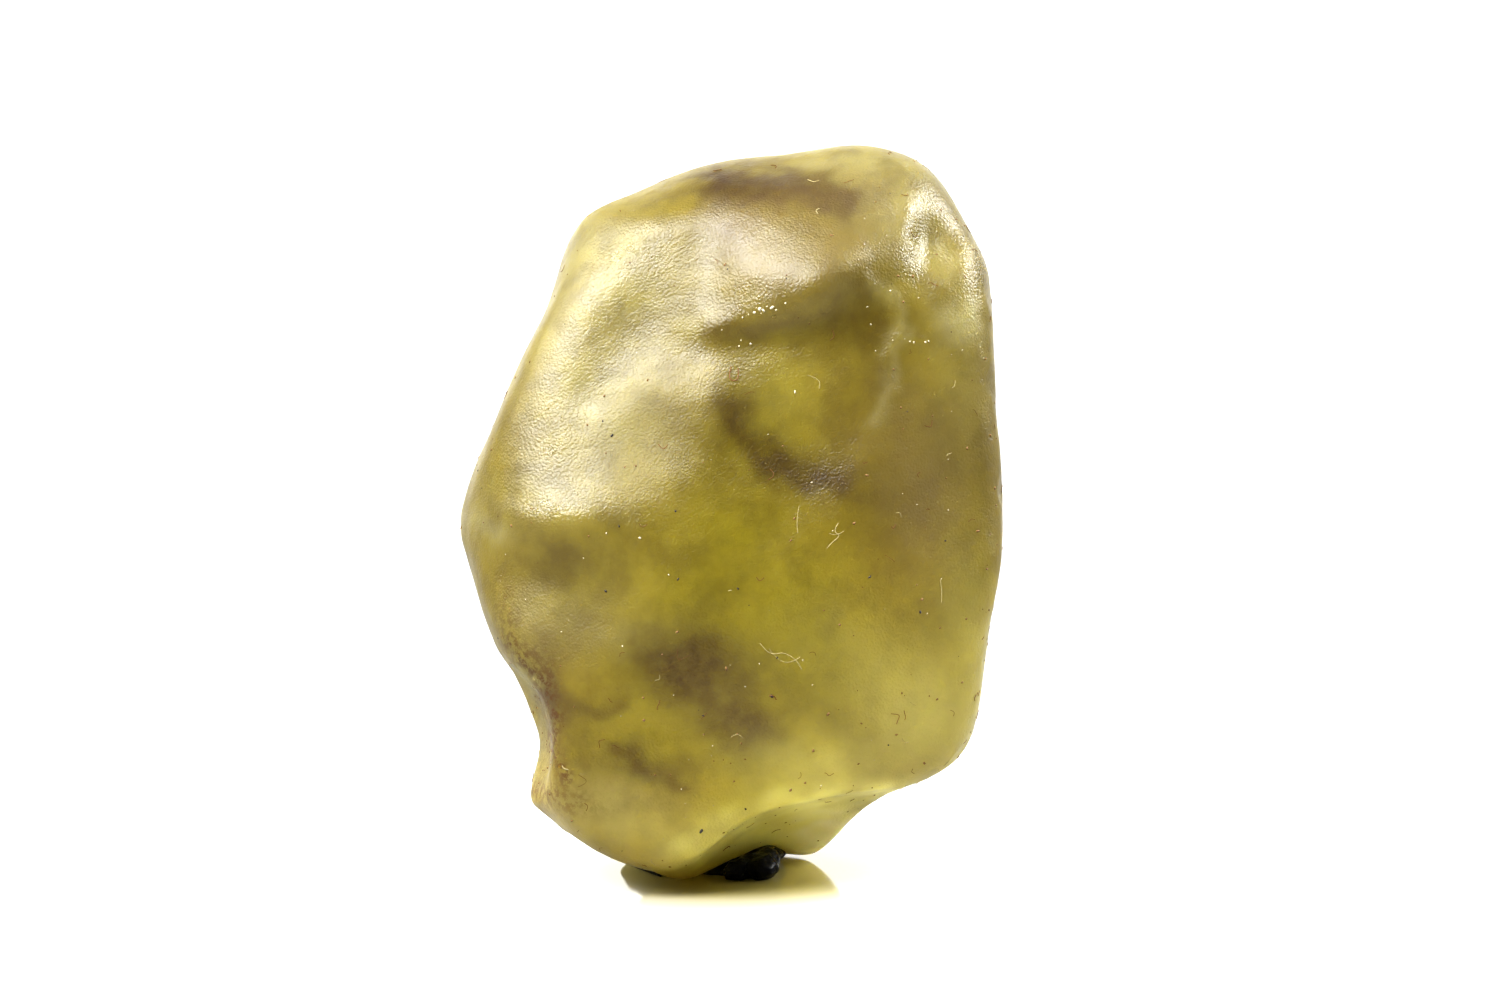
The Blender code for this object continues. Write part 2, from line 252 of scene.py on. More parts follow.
# Soft marks on the broad face, as seen: right, up, half width, half height, strength. First the
# brown shade inside the glass, with painted shade in the hollow under the brow, then where it is
# deep yellow and milky, a painted glow where light would come through, a pale spot and painted
# highlights, and the rosy tint.
INNER_SMUDGE_AND_PAINTED_SHADE = (
    (-1.7, 9.0, 0.7, 0.6, 0.9),
    (-1.7, 9.2, 1.6, 1.2, 0.62),
    (-1.7, 9.4, 2.4, 1.5, 0.60),
    (0.9, 6.3, 1.2, 1.1, 0.85),
    (-0.3, 7.2, 1.6, 1.0, 0.50),
    (-7.3, 13.9, 1.3, 1.2, 0.28),
    (-3.4, 5.0, 2.2, 0.5, 0.30),
    (-6.4, 10.4, 1.8, 1.0, 0.20),
    (-0.2, 30.1, 1.2, 0.7, 0.80),
    (2.2, 30.0, 1.8, 0.7, 0.95),
    (4.6, 29.6, 1.4, 0.5, 0.70),
    # Painted shade in the hollow under the brow, where its rim overhangs
    (0.3, 23.6, 1.6, 0.6, 0.25),
    (3.2, 23.9, 2.2, 0.8, 0.30),
    (6.0, 24.3, 1.6, 1.1, 0.30),
    (6.4, 21.4, 1.2, 1.8, 0.20),
    (7.0, 16.0, 2.4, 2.0, 0.25),
    (0.3, 28.0, 0.7, 1.0, 0.30),
    (-3.8, 23.9, 1.2, 1.3, 0.10),
    (-5.4, 22.0, 0.9, 0.8, 0.20),
    (-2.8, 20.2, 2.0, 1.0, 0.12),
    (-7.6, 17.5, 1.1, 0.7, 0.25),
    (-7.7, 7.9, 0.5, 1.2, 0.60),
    (9.6, 12.4, 1.2, 2.0, 0.20),
)
YELLOW_DEPTH = (
    (0.4, 15.4, 2.6, 2.2, 0.6),
    (-0.6, 11.6, 4.2, 3.2, 0.8),
    (0.0, 8.0, 4.0, 2.6, 0.7),
    (2.2, 21.6, 1.6, 1.6, 0.25),
    (3.5, 12.2, 3.0, 2.6, 0.5),
    (0.6, 2.2, 2.6, 1.6, 0.9),
    (3.6, 3.2, 2.4, 1.2, 0.7),
    (-3.2, 6.0, 3.0, 1.6, 0.5),
    (0.8, 19.0, 3.0, 2.0, 0.4),
)
MILKY = (
    (10.0, 24.4, 1.0, 1.0, 1.0),
    (10.0, 24.2, 0.8, 0.8, 0.8),
    (-7.6, 16.6, 2.6, 1.6, 0.4),
    (-4.8, 25.8, 3.4, 3.0, 0.55),
    (-5.4, 20.8, 2.6, 3.4, 0.5),
    (2.0, 26.8, 3.0, 1.6, 0.5),
    (5.8, 30.8, 3.0, 1.3, 0.95),
    (7.4, 29.8, 2.0, 1.8, 0.8),
    (8.6, 27.2, 2.2, 1.6, 0.5),
    (-6.2, 27.6, 1.6, 1.0, 0.6),
    (-6.6, 21.6, 2.0, 3.4, 0.4),
    (-7.8, 11.6, 2.0, 1.4, 0.35),
    (-4.4, 10.6, 1.6, 0.9, 0.35),
    (5.4, 4.6, 4.0, 1.2, 0.4),
    (-5.6, 3.4, 2.8, 1.4, 0.6),
    (10.4, 20.4, 1.6, 3.0, 0.35),
    (8.4, 7.6, 2.4, 2.4, 0.35),
    (-9.6, 6.0, 0.8, 2.0, 0.6),
)
# Painted glow: a paler, brighter colour where the keel, tip, lower right and hollow would be lit through
# the glass
PAINTED_GLOW = (
    (9.4, 21.6, 1.6, 2.2, 0.07),
    (2.2, 21.4, 1.6, 1.6, 0.10),
    (1.5, 1.9, 2.4, 1.0, 0.85),
    (3.8, 3.1, 2.2, 0.9, 0.9),
    (6.6, 3.9, 1.6, 0.5, 0.6),
    (-1.4, 1.2, 1.6, 0.8, 0.5),
    (8.8, 6.4, 2.2, 2.2, 0.34),
    (10.6, 10.4, 1.4, 4.4, 0.28),
    (6.6, 8.8, 3.0, 2.4, 0.18),
    (4.2, 10.8, 2.6, 2.0, 0.10),
    (3.6, 5.2, 3.6, 1.2, 0.26),
    (-4.0, 2.4, 3.0, 0.9, 0.15),
)
# A pale round spot in the glass; near-white painted highlights on the ridge and on a knob; the rear lobe
# by the foot painted pale, as if brightly lit
PALE_SPOT_AND_PAINTED_HIGHLIGHT = (
    (10.0, 24.3, 0.85, 0.85, 0.08),
    (-8.1, 16.5, 1.2, 0.45, 0.10),
    (10.2, 26.9, 0.5, 0.9, 0.08),
    (3.9, 1.3, 1.3, 1.0, 1.0),
    (4.9, 1.9, 1.2, 1.0, 0.9),
)
ROSY = (
    (1.6, 26.6, 2.6, 1.8, 0.65),
    (4.6, 27.6, 2.0, 1.4, 0.5),
    (0.4, 28.6, 1.8, 1.0, 0.5),
    (3.0, 29.6, 2.6, 1.0, 0.4),
    (6.0, 30.0, 2.4, 1.2, 0.35),
    (8.6, 17.6, 2.6, 4.4, 0.45),
    (-7.8, 8.6, 1.4, 2.4, 0.15),
)
# Where the frosting is coarser, so that less sheen is seen, and where it is finest. The bite's lip
# is there twice, because two soft marks at one place make a firmer one.
DULL = (
    (-3.4, 20.2, 1.6, 1.8, 0.9),
    (-4.2, 18.2, 1.7, 1.6, 0.9),
    (-5.2, 29.2, 2.2, 0.8, 0.7),
    (-8.8, 7.2, 1.0, 3.6, 1.0),
    (-8.8, 7.2, 1.0, 3.6, 1.0),
    (-6.6, 11.6, 2.0, 2.2, 0.8),
    (8.4, 16.0, 2.4, 5.0, 0.5),
)
SLEEK = (
    (-8.2, 16.1, 1.6, 0.6, 0.9),
    (-7.6, 19.6, 1.2, 2.4, 0.6),
    (-4.4, 27.4, 2.2, 1.0, 0.8),
    (1.2, 25.4, 2.0, 0.9, 0.7),
    (7.9, 27.4, 0.8, 1.4, 0.9),
    (10.7, 26.8, 0.7, 1.2, 0.9),
)
# Brown clay that is caught at the bite
CLAY = (
    (-8.7, 9.8, 0.9, 0.6, 0.7),
    (-7.9, 8.6, 0.5, 0.9, 0.9),
    (-7.6, 7.4, 0.4, 1.0, 0.9),
    (-7.8, 5.6, 0.5, 1.0, 0.5),
    (-8.3, 4.0, 0.8, 0.7, 0.7),
    (-6.8, 3.2, 1.6, 0.5, 0.4),
    (-9.6, 11.2, 0.5, 1.6, 0.5),
)

# Soft marks that follow a line: its points, the half width and the strength
INNER_BANDS_AND_PAINTED_SHADOW = (
    (((0.1, 20.4), (0.5, 19.5), (1.6, 18.4), (3.3, 17.4), (4.8, 17.5)), 0.85, 0.66),
    (((-4.9, 5.8), (-3.4, 4.8), (-2.0, 4.0)), 0.30, 0.40),
    (((-7.4, 7.9), (-5.6, 7.4), (-4.6, 7.6)), 0.35, 0.35),
    # Painted shadow along the underside of the brow's rim
    (((-0.8, 23.9), (1.6, 24.0), (4.0, 24.8), (5.8, 26.2)), 0.35, 0.20),
    (((-0.6, 30.6), (1.0, 29.9), (3.0, 30.2), (5.2, 29.5)), 0.40, 0.60),
)
PALE_BANDS = (
    (((6.2, 25.9), (7.3, 25.2), (7.6, 24.0), (6.9, 22.8), (7.2, 21.4), (6.4, 20.2)), 0.36, 0.80),
    (((-10.0, 15.2), (-11.4, 15.8)), 0.5, 0.5),
    (((-9.4, 9.6), (-8.5, 8.6), (-8.0, 7.4), (-8.1, 5.8), (-8.6, 4.4)), 0.35, 0.8),
)
CLAY_BANDS = (
    (((-9.6, 10.4), (-8.6, 9.4), (-7.8, 8.3), (-7.5, 7.2), (-7.7, 5.8), (-7.0, 4.4)), 0.22, 0.95),
    (((-8.3, 3.9), (-6.6, 3.6)), 0.5, 0.5),
)


def spread_marks(places, marks, wobble, bands=()):
    """How strongly each place is covered by soft marks and bands whose edges wander."""
    places = places + wobble
    clear = np.ones(len(places))
    for right, up, half_width, half_height, strength in marks:
        clear *= 1 - strength * soft_oval(places, right, up, half_width, half_height)
    for path, half_width, strength in bands:
        clear *= 1 - strength * soft_band(places, path, half_width)
    return 1 - clear


def add_mark(mesh, name, values):
    """Stores how strong a mark is at each point, for the material to read."""
    attribute = mesh.attributes.new(name, "FLOAT", "POINT")
    attribute.data.foreach_set("value", np.clip(values, 0, 1).astype(np.float32))


glass = even_skin(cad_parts["desert_glass"], "glass_fragment", SKIN_GRID)
relax(glass.data, SKIN_SMOOTHING)
worn = as_seen(read_points(glass.data))
crisp = sum(soft_band(worn, path, CRISP_REACH) for path in CRISP_EDGES)
relax(glass.data, FACET_SMOOTHING, (1 - crisp).clip(0, 1)[:, None])
round_edge = sum(soft_band(worn, path, WORN_REACH) for path in WORN_EDGES)
relax(glass.data, WORN_SMOOTHING, round_edge.clip(0, 1)[:, None])
points = read_points(glass.data)
normals = read_normals(glass.data)
places = as_seen(points)
facing = soft_step((-normals[:, 1] + 0.15) / 0.5)
lift = BROAD_RIPPLE * waves(points, BROAD_WAVES, seed=3)
lift += FINE_RIPPLE * waves(points, FINE_WAVES, seed=4)
for path, half_width, height in CREASES:
    lift += facing * height * soft_band(places, path, half_width)
for right, up, half_width, half_height, depth in DIPS:
    lift -= facing * depth * soft_oval(places, right, up, half_width, half_height)
for x, y, z, half_width, depth in CHIPS:
    apart = np.linalg.norm(points - np.array([x, y, z]), axis=1) / half_width
    lift -= depth * np.exp(-(apart**4))
foot = soft_step(points[:, 2] / FOOT_HEIGHT)
points += normals * (lift * foot)[:, None]
points[:, 2] -= KEEL_DROP * soft_oval(places, *KEEL_SAG) * foot
points[:, 2] = np.maximum(points[:, 2], 0)
write_points(glass.data, points * MM)

# How far the edges of the marks wander, and how far apart the bends in them are
WOBBLE = 0.16
WOBBLE_WAVES = (0.8, 2.0)
# The back has no marks of its own, only soft clouds of this size
CLOUD_WAVES = (3.0, 8.0)
ROSY_CLOUD_WAVES = (4.0, 9.0)

sideways, upwards = (waves(points, WOBBLE_WAVES, seed=seed) for seed in (5, 6))
wobble = WOBBLE * np.stack([sideways, upwards], axis=1)
front = soft_step((-normals[:, 1] + 0.3) / 0.5)
behind = 1 - front
clouds = waves(points, CLOUD_WAVES, seed=7)
unshaded = 1 - spread_marks(places, INNER_SMUDGE_AND_PAINTED_SHADE, wobble, INNER_BANDS_AND_PAINTED_SHADOW)
add_mark(glass.data, "smudge_and_painted_shade", front * (1 - unshaded**2) + behind * 0.5 * soft_step(clouds * 0.7))
add_mark(glass.data, "yellow_depth",
         front * spread_marks(places, YELLOW_DEPTH, wobble) + behind * soft_step(0.5 - clouds))
milky_clouds = soft_step(waves(points, CLOUD_WAVES, seed=8) * 0.7 + 0.2)
add_mark(glass.data, "milky",
         front * spread_marks(places, MILKY, wobble, PALE_BANDS) + behind * milky_clouds)
rosy_clouds = soft_step(waves(points, ROSY_CLOUD_WAVES, seed=9) * 0.6)
add_mark(glass.data, "rosy", front * spread_marks(places, ROSY, wobble) + behind * rosy_clouds)
add_mark(glass.data, "pale_and_painted_highlight", spread_marks(places, PALE_SPOT_AND_PAINTED_HIGHLIGHT, wobble))
not_behind = soft_step((0.8 - normals[:, 1]) / 0.8)
add_mark(glass.data, "glow", not_behind * spread_marks(places, PAINTED_GLOW, wobble))
add_mark(glass.data, "clay", front * spread_marks(places, CLAY, wobble * 0.6, CLAY_BANDS))
add_mark(glass.data, "dull", front * spread_marks(places, DULL, wobble))
add_mark(glass.data, "sleek", front * spread_marks(places, SLEEK, wobble))

# The colours of the glass: its body, its deep yellow and milky places, the paler colour of its
# painted glow where light would come through, the near-white of its pale spot and painted
# highlights, the rosy tint, the dark brown of the shade inside it, also used for the painted shade
# under the brow, and the clay on it
GLASS_BODY = (0.28, 0.215, 0.018, 1)
GLASS_YELLOW = (0.335, 0.285, 0.016, 1)
GLASS_MILKY = (0.47, 0.42, 0.17, 1)
GLASS_PAINTED_GLOW = (0.84, 0.80, 0.27, 1)
GLASS_PALE_AND_PAINTED_HIGHLIGHT = (0.97, 0.96, 0.82, 1)
GLASS_ROSY = (0.24, 0.17, 0.075, 1)
GLASS_SHADE = (0.05, 0.020, 0.0, 1)
CLAY_BROWN = (0.09, 0.032, 0.004, 1)
SILICA_GLASS_IOR = 1.46
# How much light goes through, and how much less where a glow or highlight is painted
SEE_THROUGH = 0.68
LESS_SEE_THROUGH = 0.45
# How far light of each colour spreads under the skin, and what the depth of the glass takes away
LIGHT_SPREAD = 1.6
LIGHT_SPREAD_SHARES = (1.0, 0.85, 0.30)
ABSORBED_TO = (0.80, 0.75, 0.15, 1)
ABSORBED_PER_METRE = 90.0
# The frosting: sand pits, the grain between them, and how deep they are
PIT_SIZE = 0.13
GRAIN_SIZE = 0.09
FROST_DEPTH = 0.036
PEEL_SIZE = 0.9
PEEL_DEPTH = 0.02


class Finish:
    """A material whose colour, gloss and grain are built up step by step."""

    def __init__(self, name):
        self.material = bpy.data.materials.new(name)
        self.material.use_nodes = True
        self.tree = self.material.node_tree
        self.surface = self.tree.nodes["Principled BSDF"]
        self.output = self.tree.nodes["Material Output"]
        self.object_place = self.add("ShaderNodeTexCoord").outputs["Object"]

    def add(self, kind, **settings):
        """A new step of this kind."""
        node = self.tree.nodes.new(kind)
        for key, value in settings.items():
            setattr(node, key, value)
        return node

    def put(self, socket, value):
        """Gives a socket a fixed value, or the result of another step."""
        if isinstance(value, bpy.types.NodeSocket):
            self.tree.links.new(value, socket)
        else:
            socket.default_value = value

    def set(self, name, value):
        """Gives one of the surface's own properties a value."""
        self.put(self.surface.inputs[name], value)

    def attribute(self, name):
        """How strong a stored mark is."""
        return self.add("ShaderNodeAttribute", attribute_name=name).outputs["Fac"]

    def noise(self, size_mm, detail=2.0, rough=0.5):
        """A cloudy pattern of about this size."""
        node = self.add("ShaderNodeTexNoise")
        self.put(node.inputs["Vector"], self.object_place)
        self.put(node.inputs["Scale"], 1.0 / (size_mm * MM))
        self.put(node.inputs["Detail"], detail)
        self.put(node.inputs["Roughness"], rough)
        return node.outputs["Fac"]

    def cells(self, size_mm):
        """Round pits of about this size: 0 at the middle of each."""
        node = self.add("ShaderNodeTexVoronoi")
        self.put(node.inputs["Vector"], self.object_place)
        self.put(node.inputs["Scale"], 1.0 / (size_mm * MM))
        return node.outputs["Distance"]

    def ramp(self, value, low, high, to_low=0.0, to_high=1.0):
        """A smooth change from one number to another, as the value goes from low to high."""
        node = self.add("ShaderNodeMapRange", interpolation_type="SMOOTHSTEP")
        for name, number in zip(("Value", "From Min", "From Max", "To Min", "To Max"),
                                (value, low, high, to_low, to_high)):
            self.put(node.inputs[name], number)
        return node.outputs["Result"]

    def math(self, operation, *values):
        """One sum, product or the like."""
        node = self.add("ShaderNodeMath", operation=operation)
        for socket, value in zip(node.inputs, values):
            self.put(socket, value)
        return node.outputs[0]

    def mix(self, share, a, b):
        """The first colour, changed to the second by this share."""
        node = self.add("ShaderNodeMix", data_type="RGBA")
        self.put(node.inputs["Factor"], share)
        self.put(node.inputs["A"], a)
        self.put(node.inputs["B"], b)
        return node.outputs["Result"]

    def bump(self, height, depth_mm, strength=1.0, under=None):
        """A relief this deep, over another one if there is one under it."""
        node = self.add("ShaderNodeBump")
        self.put(node.inputs["Height"], height)
        self.put(node.inputs["Distance"], depth_mm * MM)
        self.put(node.inputs["Strength"], strength)
        if under is not None:
            self.put(node.inputs["Normal"], under)
        return node.outputs["Normal"]


skin = Finish("worn_glass")
colour = skin.mix(skin.attribute("yellow_depth"), GLASS_BODY, GLASS_YELLOW)
colour = skin.mix(skin.attribute("milky"), colour, GLASS_MILKY)
cloudy = skin.ramp(skin.noise(1.6, 4.0, 0.6), 0.35, 0.68)
colour = skin.mix(skin.math("MULTIPLY", cloudy, 0.35), colour, GLASS_SHADE)
mottle = skin.ramp(skin.noise(0.7, 5.0, 0.65), 0.3, 0.65, 0.75, 1.0)
# Dark smudges inside the glass, and painted shade in the hollow under the brow
colour = skin.mix(skin.math("MULTIPLY", skin.attribute("smudge_and_painted_shade"), mottle), colour, GLASS_SHADE)
colour = skin.mix(skin.attribute("rosy"), colour, GLASS_ROSY)
# The painted glow where light would come through the glass
colour = skin.mix(skin.attribute("glow"), colour, GLASS_PAINTED_GLOW)
# The pale spot and the painted highlights
colour = skin.mix(skin.attribute("pale_and_painted_highlight"), colour, GLASS_PALE_AND_PAINTED_HIGHLIGHT)
grime = skin.ramp(skin.noise(0.3, 5.0, 0.7), 0.42, 0.58)
colour = skin.mix(skin.math("MULTIPLY", skin.attribute("clay"), grime), colour, CLAY_BROWN)
skin.set("Base Color", colour)
frosting = skin.ramp(skin.noise(0.7, 3.0, 0.6), 0.3, 0.7, 0.31, 0.38)
frosting = skin.math("MULTIPLY_ADD", skin.attribute("dull"), 0.25, frosting)
frosting = skin.math("MULTIPLY_ADD", skin.attribute("sleek"), -0.09, frosting)
skin.set("Roughness", frosting)
skin.set("IOR", SILICA_GLASS_IOR)
skin.set("Specular IOR Level", 0.26)
# Where a glow or highlight is painted, less light goes through
painted_light_share = skin.math("MAXIMUM", skin.attribute("glow"), skin.attribute("pale_and_painted_highlight"))
skin.set("Transmission Weight", skin.math("MULTIPLY_ADD", painted_light_share, -LESS_SEE_THROUGH, SEE_THROUGH))
skin.set("Subsurface Weight", 1.0)
skin.set("Subsurface Radius", LIGHT_SPREAD_SHARES)
skin.set("Subsurface Scale", LIGHT_SPREAD * MM)
grain = skin.math("MULTIPLY_ADD", skin.cells(PIT_SIZE), -0.7, skin.noise(GRAIN_SIZE, 2.0, 0.6))
frost = skin.bump(grain, FROST_DEPTH, skin.math("MULTIPLY_ADD", skin.attribute("sleek"), 0.45, 0.55))
skin.set("Normal", skin.bump(skin.noise(PEEL_SIZE, 2.0, 0.5), PEEL_DEPTH, 0.5, frost))
absorb = skin.add("ShaderNodeVolumeAbsorption")
absorb.inputs["Color"].default_value = ABSORBED_TO
absorb.inputs["Density"].default_value = ABSORBED_PER_METRE
skin.tree.links.new(absorb.outputs["Volume"], skin.output.inputs["Volume"])

glass.data.materials.append(skin.material)
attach(glass, "root")
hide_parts("desert_glass")

# The putty pad: a pinch of dark mounting putty, rolled soft and pressed under the keel by a finger.
# It sticks to the glass and to the table, so it closes the thin gap that the solid leaves. Its
# front stands forward in two lobes, with a groove between them, and is pressed low on the left.
PUTTY_GRID = 0.07
PUTTY_SMOOTHING = 6
PUTTY_FORWARD = 0.8
GROOVE_PLACE = 0.9
GROOVE_HALF_WIDTH = 0.22
GROOVE_DEPTH = 0.55
PRESSED_HEIGHT = 0.62
PRESSED_SLOPE = 0.42
PUTTY_TO_GLASS = 0.30
PUTTY_RIPPLE = 0.05
PUTTY_BLACK = (0.004, 0.004, 0.005, 1)
PUTTY_WORN_BLACK = (0.012, 0.012, 0.015, 1)

putty = even_skin(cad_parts["putty_pad"], "putty_lump", PUTTY_GRID)
relax(putty.data, PUTTY_SMOOTHING)
points = read_points(putty.data)
normals = read_normals(putty.data)
groove = GROOVE_DEPTH * np.exp(-(((points[:, 0] - GROOVE_PLACE) / GROOVE_HALF_WIDTH) ** 2))
points[:, 1] -= (PUTTY_FORWARD - groove) * soft_step((1.0 - points[:, 1]) / 2.0)
pressed = PRESSED_HEIGHT + PRESSED_SLOPE * np.clip(points[:, 0] - GROOVE_PLACE, 0, None)
in_front = soft_step((0.8 - points[:, 1]) / 1.2)
right_of_tip = soft_step((points[:, 0] + 1.5) / 1.0)
points[:, 2] -= np.maximum(points[:, 2] - pressed, 0) * 0.9 * in_front * right_of_tip
lift = PUTTY_RIPPLE * waves(points, (0.5, 1.3), seed=21)
lift += PUTTY_TO_GLASS * soft_step(normals[:, 2] * 1.5 + 0.4)
points += normals * (lift * soft_step(points[:, 2] / 0.3))[:, None]
points[:, 2] = np.maximum(points[:, 2], 0)
write_points(putty.data, points * MM)

lump = Finish("dark_putty")
handled = lump.ramp(lump.noise(0.4, 4.0, 0.6), 0.45, 0.7)
lump.set("Base Color", lump.mix(handled, PUTTY_BLACK, PUTTY_WORN_BLACK))
lump.set("Roughness", lump.ramp(lump.noise(0.3, 3.0, 0.6), 0.3, 0.7, 0.16, 0.30))
lump.set("Specular IOR Level", 0.06)
lump.set("Normal", lump.bump(lump.noise(0.25, 3.0, 0.6), 0.05, 0.6))
putty.data.materials.append(lump.material)
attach(putty, "root")
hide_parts("putty_pad")

# The dust on the skin: pale sand, brown clay and a few black grains, caught in the pits. It only
# lies on the glass, and is thickest at the bite, low down and on the right side. The grains that
# can be told apart are at their own places, and the others fall by chance.
def grain_mesh(name, spots, half_sizes, seed):
    """Small flattened lumps that lie on the surface, each turned by chance."""
    random = np.random.default_rng(seed)
    shape = bmesh.new()
    bmesh.ops.create_icosphere(shape, subdivisions=1, radius=1.0)
    ball = np.array([vertex.co for vertex in shape.verts])
    faces = np.array([[vertex.index for vertex in face.verts] for face in shape.faces])
    shape.free()
    all_points, all_faces = [], []
    for (place, normal), half_size in zip(spots, half_sizes):
        across = np.cross(normal, random.normal(size=3))
        across /= np.linalg.norm(across)
        along = np.cross(normal, across)
        lump = ball * (1 + 0.35 * random.normal(size=(len(ball), 1)).clip(-1, 1))
        stretched = lump * half_size * np.array([random.uniform(0.9, 1.8), 1.0, 0.5])
        all_faces.append(faces + len(all_points) * len(ball))
        all_points.append(place + stretched @ np.stack([across, along, normal]))
    mesh = bpy.data.meshes.new(name)
    mesh.from_pydata((np.concatenate(all_points) * MM).tolist(), [],
                     np.concatenate(all_faces).tolist())
    mesh.shade_smooth()
    return mesh


def seen_spot(tree, right, up):
    """Where a line from the camera meets the glass, given as mm right of the origin and above the tip."""
    through = AIM + np.array([right - PICTURE_MIDDLE[0], 0, 0]) + VIEW_UP * (up - PICTURE_MIDDLE[1])
    place, normal, _, _ = tree.ray_cast(Vector(EYE), Vector(through - EYE).normalized())
    return (np.array(place), np.array(normal)) if place else None


def chance_spots(points, normals, weights, count, seed):
    """Points of the skin drawn by chance, more often where the weight is greater."""
    random = np.random.default_rng(seed)
    chosen = random.choice(len(points), count, p=weights / weights.sum())
    return [(points[index], normals[index]) for index in chosen]


def dust_material(name, colour, roughness):
    """Dry stuff of one colour, darker here and there."""
    dust = Finish(name)
    darker = (*(0.6 * part for part in colour[:3]), 1)
    dust.set("Base Color", dust.mix(dust.noise(0.08), colour, darker))
    dust.set("Roughness", roughness)
    return dust.material


def lay_dust(name, spots, half_sizes, colour, roughness, seed):
    """Lays one kind of grain on the spots that were found."""
    spots_made = [(spot, size) for spot, size in zip(spots, half_sizes) if spot]
    mesh = grain_mesh(name, [spot for spot, _ in spots_made], [size for _, size in spots_made], seed)
    mesh.materials.append(dust_material(name, colour, roughness))
    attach(link(name, mesh), "root")


points = read_points(glass.data) / MM
normals = read_normals(glass.data)
places = as_seen(points)
glass.data.calc_loop_triangles()
corners = np.empty(len(glass.data.loop_triangles) * 3, np.int32)
glass.data.loop_triangles.foreach_get("vertices", corners)
tree = BVHTree.FromPolygons(points.tolist(), corners.reshape(-1, 3).tolist())
above = soft_step((points[:, 2] - 0.6) / 1.0)
front = soft_step((-normals[:, 1] + 0.3) / 0.5)
low_down = np.exp(-((points[:, 2] - 5) / 6) ** 2)
at_right = soft_step((points[:, 0] - 5) / 4)
at_bite = spread_marks(places, CLAY, wobble) * front
dusty = above * (0.35 + 0.5 * low_down + 0.5 * at_right + 0.6 * at_bite)
random = np.random.default_rng(31)

# Grains as seen: right, up, half size. The first ones are the cluster on the brow's rim.
WHITE_SPECKS = (
    (1.12, 24.66, 0.060), (1.34, 24.82, 0.080), (1.50, 24.74, 0.070), (1.88, 24.86, 0.070),
    (0.60, 24.45, 0.042), (2.05, 24.76, 0.040), (1.66, 24.92, 0.035), (1.40, 24.62, 0.035),
    (0.86, 24.58, 0.030), (1.20, 24.86, 0.030), (2.45, 25.05, 0.042), (0.45, 23.20, 0.048),
    (0.95, 23.30, 0.042), (1.10, 22.45, 0.030), (2.87, 21.22, 0.054), (-0.30, 23.90, 0.036),
    (-3.85, 14.90, 0.060), (-5.30, 15.10, 0.036), (6.00, 24.90, 0.030), (7.62, 23.52, 0.030),
    (7.86, 23.40, 0.044), (8.02, 23.36, 0.036), (8.52, 23.38, 0.050), (8.66, 23.42, 0.034),
    (6.35, 23.00, 0.030), (6.15, 24.15, 0.036), (7.00, 25.60, 0.036), (4.50, 15.20, 0.030),
    (9.50, 18.30, 0.030), (-2.60, 13.30, 0.030), (3.20, 9.60, 0.030), (-4.60, 10.20, 0.030),
    (-0.70, 5.90, 0.030), (3.60, 17.30, 0.030),
)
# Black grains, in the same way
BLACK_SPECKS = (
    (-5.32, 12.60, 0.07), (6.11, 13.21, 0.06), (-5.05, 19.35, 0.05), (-5.45, 19.95, 0.05),
    (-2.20, 13.10, 0.05), (-1.10, 7.20, 0.05), (1.87, 8.05, 0.08), (8.30, 11.70, 0.05),
    (2.10, 9.70, 0.04), (-4.75, 15.40, 0.04), (-1.20, 2.20, 0.07), (-2.30, 16.05, 0.04),
    (0.40, 12.70, 0.04),
)
WHITE_BY_CHANCE = 240
BLACK_BY_CHANCE = 60
CLAY_BY_CHANCE = 420
PALE_SAND = (0.62, 0.56, 0.38, 1)
BLACK_SAND = (0.02, 0.015, 0.01, 1)
CLAY_DUST = (0.20, 0.11, 0.03, 1)

white = [seen_spot(tree, right, up) for right, up, _ in WHITE_SPECKS]
white += chance_spots(points, normals, dusty, WHITE_BY_CHANCE, seed=32)
sizes = [size for _, _, size in WHITE_SPECKS] + random.uniform(0.012, 0.030, WHITE_BY_CHANCE).tolist()
lay_dust("white_dust", white, sizes, PALE_SAND, 0.6, seed=33)

black = [seen_spot(tree, right, up) for right, up, _ in BLACK_SPECKS]
black += chance_spots(points, normals, dusty, BLACK_BY_CHANCE, seed=34)
sizes = [size for _, _, size in BLACK_SPECKS] + random.uniform(0.015, 0.04, BLACK_BY_CHANCE).tolist()
lay_dust("black_grains", black, sizes, BLACK_SAND, 0.5, seed=35)

clay = chance_spots(points, normals, dusty, CLAY_BY_CHANCE, seed=36)
sizes = random.uniform(0.02, 0.06, CLAY_BY_CHANCE).tolist()
lay_dust("clay_grains", clay, sizes, CLAY_DUST, 0.8, seed=37)

